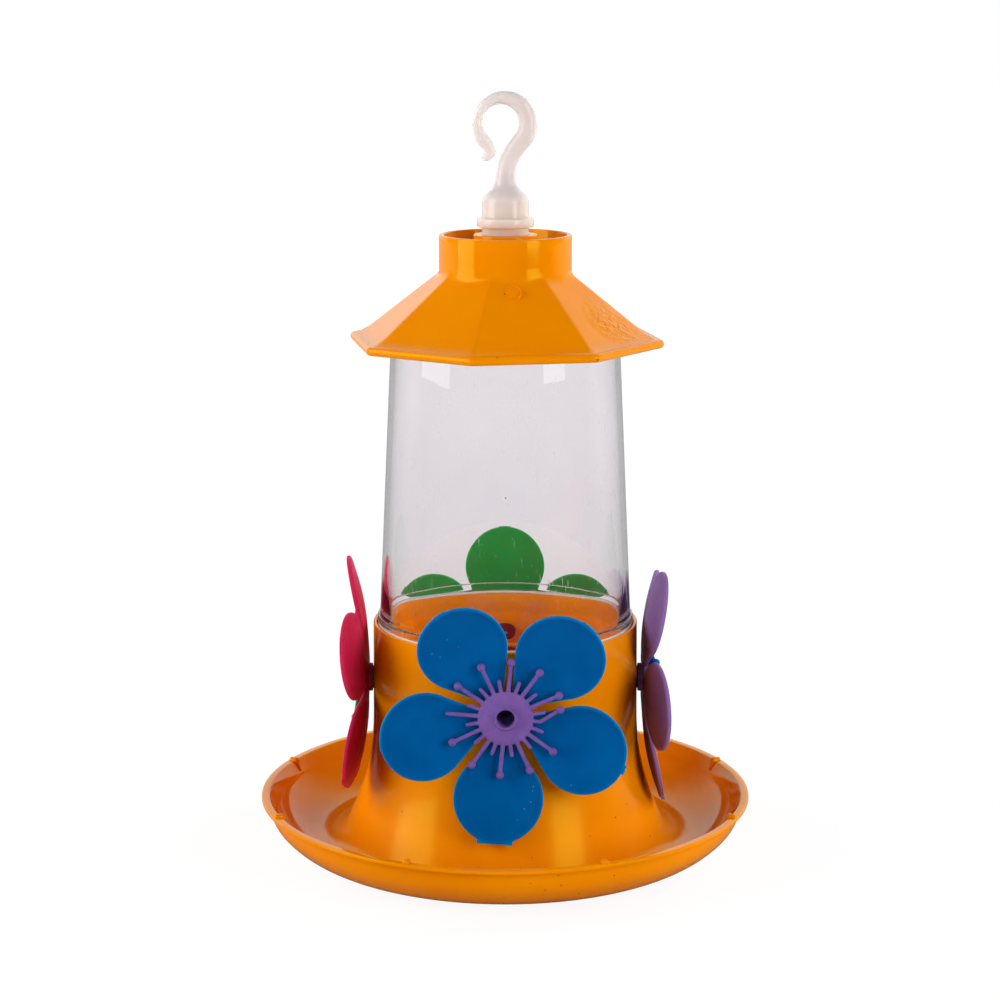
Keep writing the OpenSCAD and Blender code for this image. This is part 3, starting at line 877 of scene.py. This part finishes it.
def make_petal(gate):
    """One cupped petal with a raised border, its middle at the origin and its neck towards -Y."""
    bm = bmesh.new()
    bmesh.ops.create_circle(bm, cap_ends=True, segments=PETAL_SIDES, radius=PETAL_R * MM)
    for vert in bm.verts:
        petal_neck(vert)
    bmesh.ops.recalc_face_normals(bm, faces=bm.faces[:])
    if bm.faces[:][0].normal.z < 0:
        bmesh.ops.reverse_faces(bm, faces=bm.faces[:])
    bmesh.ops.solidify(bm, geom=bm.faces[:], thickness=PETAL_T * MM)
    bmesh.ops.recalc_face_normals(bm, faces=bm.faces[:])
    eased(bm, PETAL_EASE, segments=4, sharper_than=80, keep=is_level)
    middle = (max(v.co.z for v in bm.verts) + min(v.co.z for v in bm.verts)) / 2
    bmesh.ops.translate(bm, verts=bm.verts[:], vec=(0, 0, -middle))
    for side, steps in ((1, PETAL_FRONT), (-1, PETAL_BACK)):
        face = [f for f in bm.faces if f.normal.z * side > 0.99 and len(f.verts) > 12]
        for share, rise in steps:
            bmesh.ops.inset_region(bm, faces=face, thickness=0, depth=0)
            bmesh.ops.scale(bm, vec=(share, share, 1), verts=face[0].verts)
            bmesh.ops.translate(bm, vec=(0, 0, rise * side * MM), verts=face[0].verts)
    # Faces small enough to follow the cup
    for axis, low, high in (((1, 0, 0), -12, 12), ((0, 1, 0), -18, 12)):
        for at in range(low, high + 1, PETAL_GRID):
            bmesh.ops.bisect_plane(bm, geom=bm.verts[:] + bm.edges[:] + bm.faces[:], dist=MERGE,
                                   plane_co=Vector(axis) * at * MM, plane_no=axis)
    return worked(cupped(bm), gate_stub(*gate), "UNION")


def petal_depth(at):
    """How far a point lies inside the outline of a petal that is drawn at the origin."""
    x, y = abs(at.x) / MM, at.y / MM
    if y > WIDE_Y:
        return PETAL_R - hypot(x, y)
    return ((WIDE_Y - NECK_Y) * (NECK_X - x) - (WIDE_X - NECK_X) * (NECK_Y - y)) / FLANK


def mark_lit_borders(bm, places):
    """Marks the petals' borders for the painted highlight along their edges, from 0 inside to 1 at the
    edge.
    """
    lit_border = bm.verts.layers.float.new("lit_border")
    back = [place.inverted() for place in places]
    for vert in bm.verts:
        depth = max(petal_depth(b @ vert.co) for b in back)
        vert[lit_border] = 0 if depth < -LIT_BORDER_PAST else min(1, max(0, 1 - depth / LIT_BORDER_W))


def flower_shape():
    """Five petals on a hub, the first petal upright, drawn along +Z."""
    top = HUB_W + HUB_T
    hub = turned([(PORT_R, SPACER_W), (SPACER_R, SPACER_W), (SPACER_R, HUB_W), (HUB_R, HUB_W),
                  (HUB_R, top), (PORT_R, top)], HUB_STEPS, closed=True)
    eased(hub, HUB_EASE, sharper_than=60)
    places = []
    for i, gate in enumerate(PETAL_GATES):
        petal = make_petal(gate)
        places.append(Matrix.Rotation(radians(-i * 360 / len(PETAL_GATES)), 4, "Z")
                      @ Matrix.Translation(Vector((0, PETAL_AT, PETAL_W)) * MM)
                      @ Matrix.Rotation(radians(PETAL_LEAN), 4, "X"))
        bmesh.ops.transform(petal, matrix=places[i], verts=petal.verts[:])
        hub = worked(hub, petal, "UNION")
    mark_lit_borders(hub, places)
    return hub


def make_stamen(reach, tip_r, bend=0):
    """One stamen drawn along +Z from inside the disc, with a ball at its tip."""
    length = reach - STAMEN_ROOT
    low, high = (STAMEN_LOW_R, 0), (STAMEN_HIGH_R, length)
    section = [(0, 0), low] + between(low, high, (0.3, 0.55, 0.8))
    if tip_r > STAMEN_R:
        section += arc(0, length, tip_r, BALL_FROM, 90, steps=9)
    else:
        section += arc(0, length, STAMEN_HIGH_R, 0, 90, steps=5)
    section = section[:-1] + [(0, section[-1][1])]
    bm = turned(section, STAMEN_STEPS)
    if bend:
        hinge = Vector((0, 0, BENT_AT * length * MM))
        past = [v for v in bm.verts if v.co.z > BENT_AT * length * MM]
        bmesh.ops.rotate(bm, verts=past, cent=hinge, matrix=Matrix.Rotation(radians(bend), 3, "Y"))
    return bm


def disc_shape():
    """The pistil's disc with the feeding hole and its tube, drawn out a little at each stamen."""
    top = DISC_W + DISC_T
    lip_in, lip_out = FEED_LIP
    section = [(TUBE_HOLE_R, TUBE_END_W), (FEED_TUBE_R, TUBE_END_W), (FEED_TUBE_R, DISC_W)]
    section += [(DISC_RING_R, DISC_W), (DISC_R, DISC_W), (DISC_R, top), (DISC_RING_R, top)]
    section += [(FEED_R + lip_out, top), (FEED_R + lip_in, top + FEED_LIP_H), (FEED_R, top + FEED_LIP_H)]
    section += [(FEED_R, TUBE_END_W + TUBE_END_T), (TUBE_HOLE_R, TUBE_END_W + TUBE_END_T)]
    disc = turned(section, DISC_STEPS, closed=True)
    half = 90 / STAMENS
    for vert in disc.verts:
        if vert.co.xy.length > SCALLOP_FROM_R * MM:
            angle = degrees(atan2(vert.co.x, vert.co.y))
            away = abs((angle + half) % (2 * half) - half) / half
            vert.co.xy *= 1 + SCALLOP * max(0, 1 - away * SCALLOP_NARROWING) ** 2
    return eased(disc, DISC_EASE, sharper_than=60, keep=lambda e: middle_r(e) > 2)


def pistil_shape(bent=None, broken=None):
    """Disc and two rings of stamens, drawn along +Z."""
    disc = disc_shape()
    rods = bmesh.new()
    for i in range(STAMENS * 2):
        long = i % 2 == 0
        tip_r = BALL_R if long and i != broken else STAMEN_R
        rod = make_stamen(STAMEN_REACH if long else SHORT_REACH, tip_r, BENT_TURN if i == bent else 0)
        place = (Matrix.Rotation(radians(-i * 180 / STAMENS), 4, "Z")
                 @ Matrix.Translation(Vector((0, STAMEN_ROOT, DISC_W + DISC_T / 2)) * MM)
                 @ Matrix.Rotation(radians(STAMEN_RISE - 90), 4, "X"))
        bmesh.ops.transform(rod, matrix=place, verts=rod.verts[:])
        added(rods, rod)
    return worked(disc, rods, "UNION")


def make_on_port(shape, name, node, turn, first, finish):
    """Copies a flower's or pistil's shape to its port, with its first petal or stamen turned."""
    bm = shape.copy()
    place = at_port(turn) @ Matrix.Rotation(radians(-first), 4, "Z")
    bmesh.ops.transform(bm, matrix=place, verts=bm.verts[:])
    return hand_over(bm, name, finish, node, node, sharp=ROUNDED_SHARP_TURN)


# Finishes
def srgb(r, g, b):
    """A colour as seen, from 0 to 255, as the shader takes it."""
    levels = [c / 255 for c in (r, g, b)]
    return tuple(c / 12.92 if c <= 0.04045 else ((c + 0.055) / 1.055) ** 2.4 for c in levels) + (1,)


class Finish:
    """A material put together from nodes round one surface shader."""

    def __init__(self, name, **constants):
        self.material = bpy.data.materials.new(name)
        self.material.use_nodes = True
        self.tree = self.material.node_tree
        self.shader = self.tree.nodes["Principled BSDF"]
        for key, value in constants.items():
            self.shader.inputs[key.replace("_", " ")].default_value = value
        self.place = self.node("ShaderNodeTexCoord").outputs["Object"]

    def node(self, kind, settings=None, **inputs):
        """A new node; an input is given by its name, or as i and its number."""
        made = self.tree.nodes.new(kind)
        for key, value in (settings or {}).items():
            setattr(made, key, value)
        for key, value in inputs.items():
            numbered = key[0] == "i" and key[1:].isdigit()
            self.put(made.inputs[int(key[1:]) if numbered else key], value)
        return made

    def put(self, socket, value):
        if isinstance(value, bpy.types.NodeSocket):
            self.tree.links.new(value, socket)
        else:
            socket.default_value = value

    def stretched(self, scale):
        return self.node("ShaderNodeMapping", Vector=self.place, Scale=scale).outputs["Vector"]

    def noise(self, scale, detail=3, rough=0.55, where=None):
        return self.node("ShaderNodeTexNoise", Vector=where or self.place, Scale=scale, Detail=detail,
                         Roughness=rough).outputs["Fac"]

    def cells(self, scale):
        return self.node("ShaderNodeTexVoronoi", Vector=self.place, Scale=scale).outputs["Distance"]

    def ranged(self, value, low, high, to_low=0, to_high=1):
        return self.node("ShaderNodeMapRange", i0=value, i1=low, i2=high, i3=to_low,
                         i4=to_high).outputs["Result"]

    def sums(self, how, a, b):
        return self.node("ShaderNodeMath", {"operation": how}, i0=a, i1=b).outputs["Value"]

    def times(self, a, b):
        return self.sums("MULTIPLY", a, b)

    def mixed_value(self, share, a, b):
        return self.node("ShaderNodeMix", {"data_type": "FLOAT"}, i0=share, i2=a, i3=b).outputs[0]

    def mixed(self, share, a, b):
        return self.node("ShaderNodeMix", {"data_type": "RGBA"}, i0=share, i6=a, i7=b).outputs[2]

    def axis(self, which):
        return self.node("ShaderNodeSeparateXYZ", i0=self.place).outputs[which]

    def length(self, vector):
        return self.node("ShaderNodeVectorMath", {"operation": "LENGTH"}, i0=vector).outputs["Value"]

    def away_from(self, point):
        return self.node("ShaderNodeVectorMath", {"operation": "DISTANCE"}, i0=self.place,
                         i1=point).outputs["Value"]

    def spots(self, scale, fade, patch_scale, patch_fade):
        """Small spots that come in patches."""
        patches = self.ranged(self.noise(patch_scale, 2), *patch_fade)
        return self.times(self.ranged(self.cells(scale), *fade), patches)

    def coloured(self, tone):
        self.put(self.shader.inputs["Base Color"], tone)

    def roughened(self, roughness):
        self.put(self.shader.inputs["Roughness"], roughness)

    def bumps(self, *layers):
        """Adds bump layers of (height, depth in millimetres, strength)."""
        normal = None
        for height, depth, strength in layers:
            made = self.node("ShaderNodeBump", Height=height, Distance=depth * MM, Strength=strength)
            if normal is not None:
                self.put(made.inputs["Normal"], normal)
            normal = made.outputs["Normal"]
        self.put(self.shader.inputs["Normal"], normal)


def orange_plastic(name):
    """Matt on the column and the roof's sides, polished in the tray's bowl and on the collar."""
    f = Finish(name, IOR=1.49, Specular_IOR_Level=0.5, Specular_Tint=(1.0, 1.0, 0.05, 1))
    tone = f.mixed(f.ranged(f.noise(22, 4), 0.3, 0.7), srgb(236, 133, 0), srgb(245, 145, 0))
    specks = f.spots(260, (0.1, 0.05), 35, (0.58, 0.62))
    dust = f.spots(640, (0.12, 0.05), 60, (0.56, 0.62))
    tone = f.mixed(f.times(specks, 0.75), tone, srgb(96, 44, 8))
    f.coloured(f.mixed(f.times(dust, 0.4), tone, srgb(150, 80, 20)))
    level = f.node("ShaderNodeVectorMath", {"operation": "MULTIPLY"}, i0=f.place, i1=(1, 1, 0))
    radius = f.length(level.outputs["Vector"])
    drag = f.noise(1.0, 3, 0.6, f.stretched((900, 900, 60)))
    matt = f.times(f.ranged(radius, *BOWL_POLISH_R), f.ranged(f.axis("Z"), *COLLAR_POLISH_Z))
    gloss = f.sums("ADD", f.ranged(f.noise(140, 4), 0.35, 0.7, 0.05, 0.09), f.times(matt, 0.12))
    f.roughened(f.sums("ADD", gloss, f.ranged(drag, 0.62, 0.72, 0, 0.08)))
    turning = f.node("ShaderNodeTexNoise", {"noise_dimensions": "1D"}, W=radius, Scale=650, Detail=3)
    turning = f.times(turning.outputs["Fac"], f.ranged(f.axis("Z"), *TURNING_MARKS_Z))
    wrinkles = f.noise(650, 3, 0.6, f.stretched((0.5, 0.5, 1)))
    ripple = f.times(f.ranged(f.away_from(ROOF_RIPPLE), *ROOF_RIPPLE_R), wrinkles)
    f.bumps((f.noise(55, 2), 0.15, 0.1), (f.noise(420, 3), 0.03, 0.1), (drag, 0.01, 0.12),
            (turning, 0.03, 0.25), (ripple, 0.7, 1.0))
    return f.material


def petal_plastic(name, low, high, edge):
    f = Finish(name, IOR=1.45, Specular_IOR_Level=0.3, Specular_Tint=edge)
    lit_border = f.node("ShaderNodeAttribute", {"attribute_name": "lit_border"}).outputs["Fac"]
    tone = f.mixed(f.ranged(f.noise(60, 4), 0.32, 0.68), low, high)
    # Painted highlight: near their edges the petals turn towards the light edge tone, where the edges
    # catch the light
    tone = f.mixed(f.times(lit_border, 0.65), tone, edge)
    chalk = f.spots(420, (0.09, 0.04), 50, (0.6, 0.64))
    f.coloured(f.mixed(f.times(chalk, 0.5), tone, srgb(170, 175, 180)))
    f.roughened(f.ranged(f.noise(180, 4), 0.3, 0.7, 0.46, 0.6))
    f.bumps((f.noise(160, 3), 0.2, 0.12), (f.noise(2600, 2), 0.05, 0.4))
    return f.material


def pistil_plastic(name, low, high):
    f = Finish(name, IOR=1.45, Specular_IOR_Level=0.35, Specular_Tint=high)
    f.coloured(f.mixed(f.ranged(f.noise(300, 4), 0.32, 0.68), low, high))
    f.roughened(f.ranged(f.noise(500, 3), 0.3, 0.7, 0.42, 0.58))
    f.bumps((f.noise(900, 2), 0.1, 0.35), (f.noise(2400, 2), 0.08, 0.5))
    return f.material


def clear_plastic(name):
    f = Finish(name, IOR=1.46, Transmission_Weight=1.0)
    haze = f.noise(40, 4)
    f.coloured(f.mixed(f.ranged(haze, 0.3, 0.7), srgb(251, 247, 250), srgb(254, 251, 253)))
    drag = f.noise(1.0, 2, 0.5, f.stretched((1300, 1300, 45)))
    scratch = f.ranged(f.noise(1.0, 2, 0.4, f.stretched((2600, 2600, 130))), 0.69, 0.73, 0, 0.45)
    scratch = f.times(scratch, f.ranged(f.noise(70, 2), 0.48, 0.56))
    streak = f.sums("ADD", f.ranged(drag, 0.66, 0.74, 0, 0.06), scratch)
    f.roughened(f.sums("ADD", streak, f.ranged(haze, 0.4, 0.8, 0.0, 0.012)))
    bubble = f.ranged(f.away_from(CUP_BUBBLE), *CUP_BUBBLE_R)
    f.bumps((f.noise(30, 2), 0.2, 0.03), (drag, 0.01, 0.05), (bubble, 0.4, 1.0))
    return f.material


def milky_plastic(name):
    """Cool and milky on the ring, warmer and lighter towards the orange collar: a painted glow of the
    orange light that the collar throws onto it.
    """
    f = Finish(name, IOR=1.5, Subsurface_Weight=1.0, Subsurface_Scale=0.006)
    f.shader.inputs["Subsurface Radius"].default_value = (1.0, 0.95, 0.92)
    tone = f.mixed(f.ranged(f.noise(160, 4), 0.3, 0.7), srgb(213, 203, 200), srgb(219, 210, 207))
    # Painted glow: orange light from the collar, painted into the hook's lower part
    collar_glow = f.ranged(f.axis("Z"), *HOOK_GLOW_Z)
    f.coloured(f.mixed(f.times(collar_glow, 0.9), tone, srgb(248, 226, 206)))
    f.roughened(f.ranged(f.noise(420, 3), 0.3, 0.7, 0.07, 0.13))
    f.bumps((f.noise(120, 2), 0.05, 0.04), (f.noise(1500, 2), 0.004, 0.06))
    return f.material


def seal_rubber(name):
    f = Finish(name, Specular_IOR_Level=0.35)
    f.coloured(f.mixed(f.noise(300, 3), srgb(224, 220, 210), srgb(236, 233, 226)))
    f.roughened(f.ranged(f.noise(700, 3), 0.3, 0.7, 0.55, 0.7))
    f.bumps((f.noise(1800, 2), 0.03, 0.3), (f.noise(90, 2), 0.05, 0.1))
    return f.material


# Studio
def soft_light(name, at, aim, size, watts, tall=None, reflected=False):
    light = bpy.data.objects.new(name, bpy.data.lights.new(name, "AREA"))
    bpy.context.scene.collection.objects.link(light)
    light.data.energy = watts
    light.data.size = size
    if tall:
        light.data.shape = "RECTANGLE"
        light.data.size_y = tall
    light.location = at
    light.rotation_euler = (Vector(aim) - Vector(at)).to_track_quat("-Z", "Y").to_euler()
    light.visible_glossy = reflected
    light.visible_transmission = False


def standing_light(name, turn, foot, wide, tall, watts, reflected):
    """A softbox that stands a little above the floor, at a turn from the camera's side."""
    a = radians(turn)
    middle = foot + tall / 2
    at = (SOFTBOX_AWAY * sin(a), -SOFTBOX_AWAY * cos(a), middle)
    soft_light(name, at, (0, 0, middle), wide, watts, tall, reflected)


class Backdrop(Finish):
    """The sums that tell which rays look straight at the background."""

    def __init__(self, tree):
        self.tree = tree
        path = self.node("ShaderNodeLightPath").outputs
        mirrored = self.sums("MINIMUM", path["Glossy Depth"], 1)
        self.camera = path["Is Camera Ray"]
        self.through = self.times(path["Is Transmission Ray"], self.sums("SUBTRACT", 1, mirrored))
        self.mirrored = self.sums("MAXIMUM", mirrored, path["Is Glossy Ray"])
        self.lit = self.sums("MINIMUM", path["Diffuse Depth"], 1)


def make_world():
    """White where it is seen, greyer through the cup, and dim in front and overhead in reflections."""
    world = bpy.data.worlds.new("studio")
    bpy.context.scene.world = world
    world.use_nodes = True
    b = Backdrop(world.node_tree)
    back = b.tree.nodes["Background"]
    b.place = b.node("ShaderNodeTexCoord").outputs["Generated"]
    behind = b.ranged(b.axis("Y"), 0.4, 0.7, FRONT_GLOSS, 1)
    gloss = b.times(behind, b.ranged(b.axis("Z"), 0.6, 0.8, 1, TOP_GLOSS))
    through = b.times(b.through, b.ranged(b.lit, 0, 1, THROUGH_CUP, 1))
    seen = b.sums("MAXIMUM", b.camera, through)
    unseen = b.sums("SUBTRACT", 1, b.sums("MAXIMUM", b.camera, b.through))
    rest = b.times(unseen, b.mixed_value(b.mirrored, AMBIENT, gloss))
    b.put(back.inputs["Strength"], b.sums("ADD", seen, rest))
    back.inputs["Color"].default_value = (1, 1, 1, 1)


def make_floor():
    """Plain white floor that keeps a faint shadow, a little greyer through the cup."""
    bm = bmesh.new()
    bmesh.ops.create_circle(bm, cap_ends=True, segments=96, radius=FLOOR_R)
    floor = in_scene(bm, "floor")
    material = bpy.data.materials.new("floor_white")
    material.use_nodes = True
    b = Backdrop(material.node_tree)
    b.place = b.node("ShaderNodeTexCoord").outputs["Object"]
    b.shader = b.tree.nodes["Principled BSDF"]
    greys = [(grey, grey, grey, 1) for grey in (FLOOR_GREY, FLOOR_MIRRORED_GREY)]
    b.coloured(b.mixed(b.mirrored, *greys))
    b.roughened(0.9)
    b.shader.inputs["Specular IOR Level"].default_value = 0.0
    behind = b.times(b.mirrored, b.ranged(b.axis("Y"), -0.1, 0.3, 0, 0.5))
    white = b.sums("MAXIMUM", b.camera, b.sums("MAXIMUM", b.through, behind))
    share = b.times(white, b.ranged(b.length(b.place), FLOOR_NEAR, FLOOR_FAR, FLOOR_NEAR_GLOW, 1))
    strength = b.ranged(b.camera, 0, 1, FLOOR_GLOW * THROUGH_CUP, FLOOR_GLOW)
    glow = b.node("ShaderNodeEmission", Strength=strength)
    mix = b.node("ShaderNodeMixShader", i0=share, i1=b.shader.outputs[0], i2=glow.outputs[0])
    b.put(b.tree.nodes["Material Output"].inputs["Surface"], mix.outputs[0])
    floor.data.materials.append(material)


set_camera()
bpy.context.scene.view_settings.view_transform = "Standard"

orange = orange_plastic("orange_plastic_gloss")
make_tray(orange)
make_seal(seal_rubber("white_seal_rubber"))
make_reservoir(clear_plastic("clear_plastic_scuffed"))
make_roof(orange)
make_hook(milky_plastic("milky_plastic_satin"))

petals = flower_shape()
for side, colour, turn, first, *tones in FLOWERS:
    finish = petal_plastic(colour + "_petals", *[srgb(*tone) for tone in tones])
    make_on_port(petals, side + "_petals", side + "_flower", turn, first, finish)
petals.free()

stamens = pistil_shape()
worn_stamens = pistil_shape(BENT_STAMEN, BROKEN_STAMEN)
for side, colour, turn, first, *tones in PISTILS:
    shape = worn_stamens if side == "front" else stamens
    finish = pistil_plastic(colour + "_stamens", *[srgb(*tone) for tone in tones])
    make_on_port(shape, side + "_stamens", side + "_pistil", turn, first, finish)
stamens.free()
worn_stamens.free()

make_floor()
make_world()
for softbox in SOFTBOXES:
    standing_light(*softbox)
for name, at, watts in BACK_SOFTBOXES:
    soft_light(name, at, BACK_AIM, BACK_SIZE, watts)
